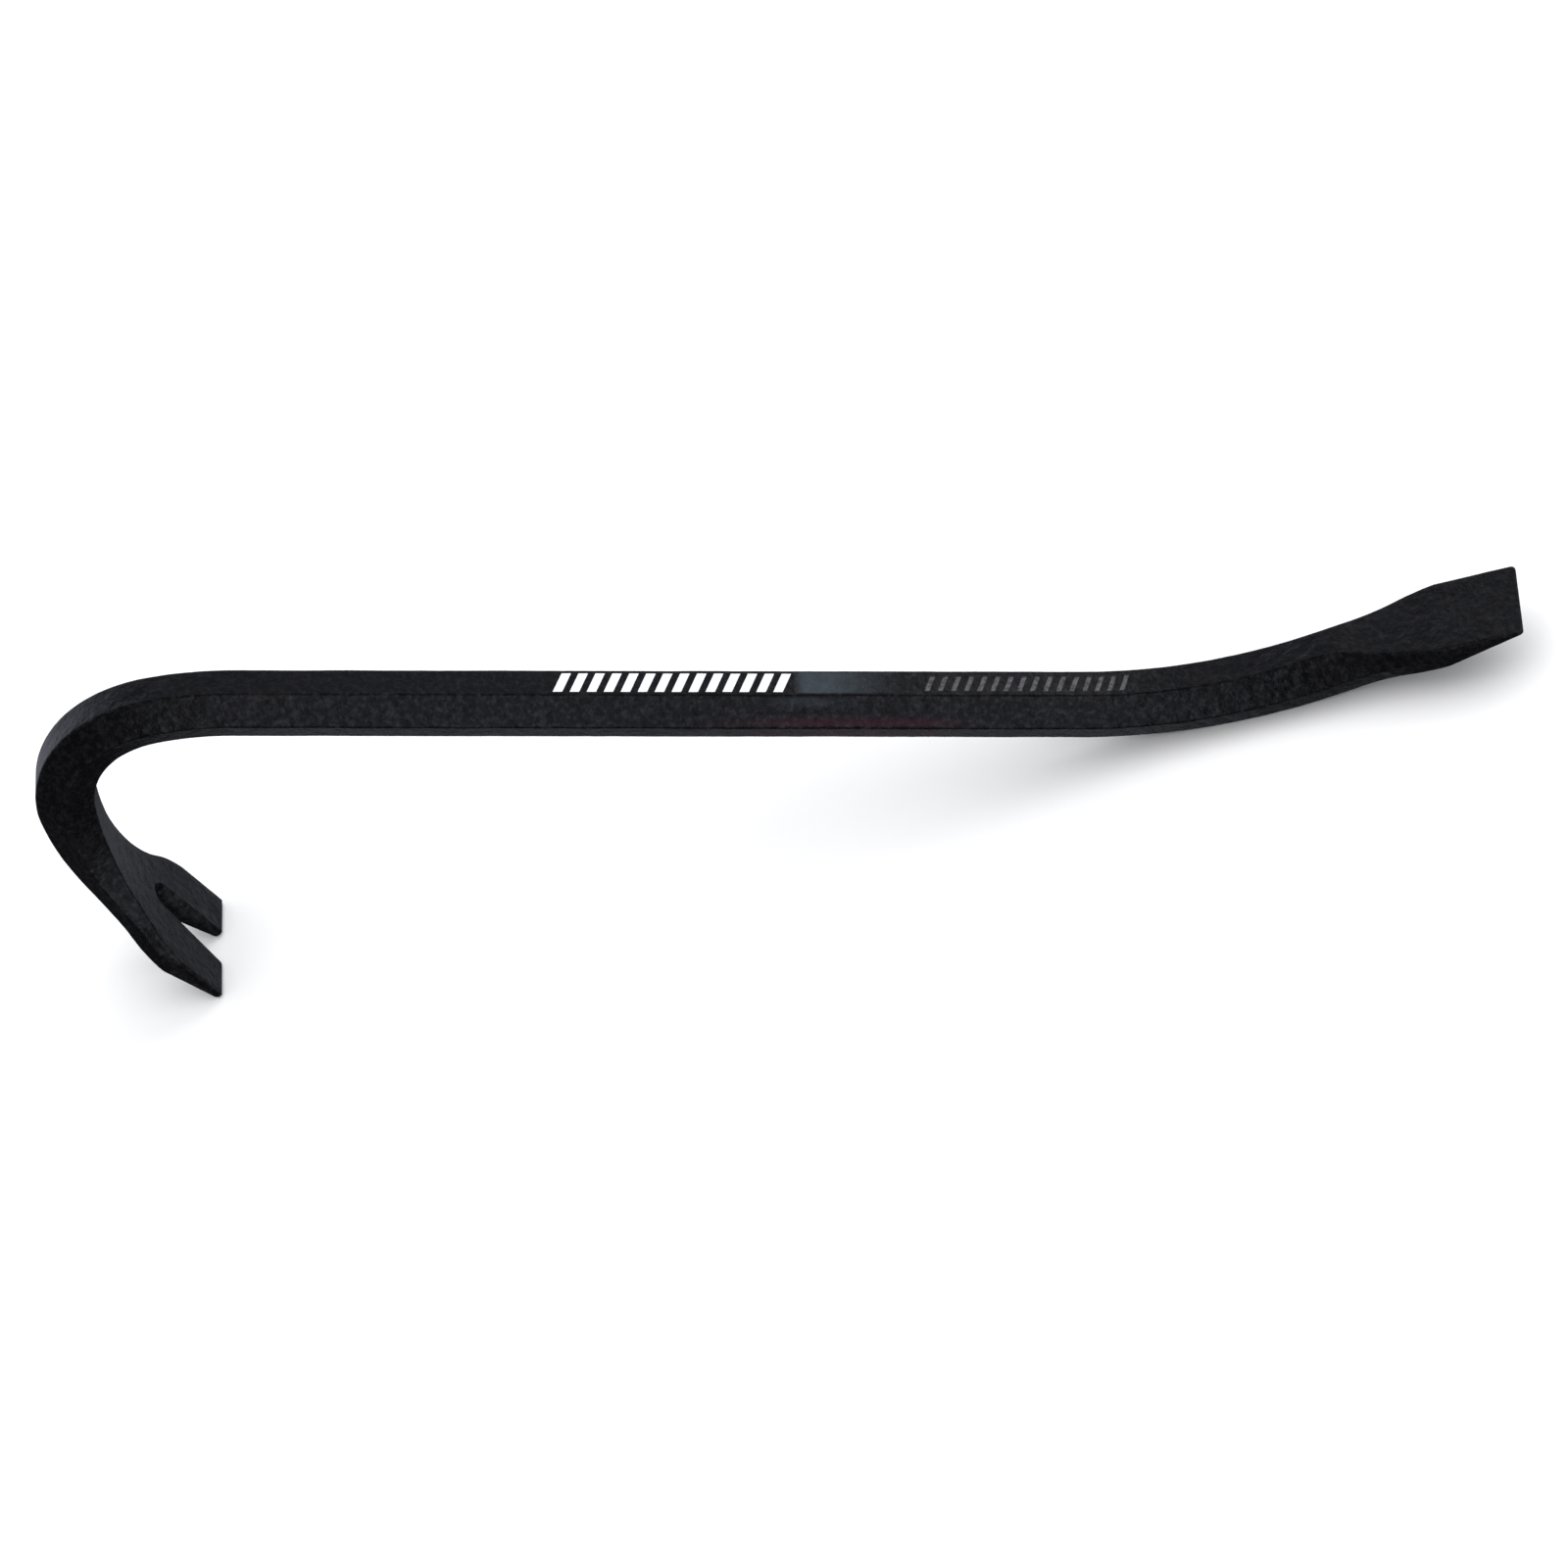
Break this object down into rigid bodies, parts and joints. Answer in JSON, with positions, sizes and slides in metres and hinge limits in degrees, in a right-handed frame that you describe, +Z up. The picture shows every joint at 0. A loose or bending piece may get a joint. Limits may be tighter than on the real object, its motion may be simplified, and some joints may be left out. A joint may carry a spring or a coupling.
{
  "type": "gooseneck pry bar",
  "caption": "Hexagon-stock steel pry bar with a gooseneck hook and slotted claw at one end and an angled flat chisel at the other, painted black.",
  "frame": {"origin": "middle of the bounding box's base, with the bar standing on its claw tips and the heel of its chisel bend", "axes": "+X towards the chisel end, +Z up, and the bar's plane of symmetry at Y = 0"},
  "size_m": [0.4748, 0.0446, 0.1218],
  "materials": {
    "black_paint": "semi-gloss black enamel over a forged surface",
    "white_ink": "opaque white printed ink",
    "blue_ink": "blue printed ink, faded at its ends",
    "red_ink": "dark red printed ink, faded at its ends"
  },
  "bodies": {
    "root": {"forged_bar": "black_paint", "print_white": "white_ink", "print_blue": "blue_ink", "print_red": "red_ink"}
  },
  "joints": []
}
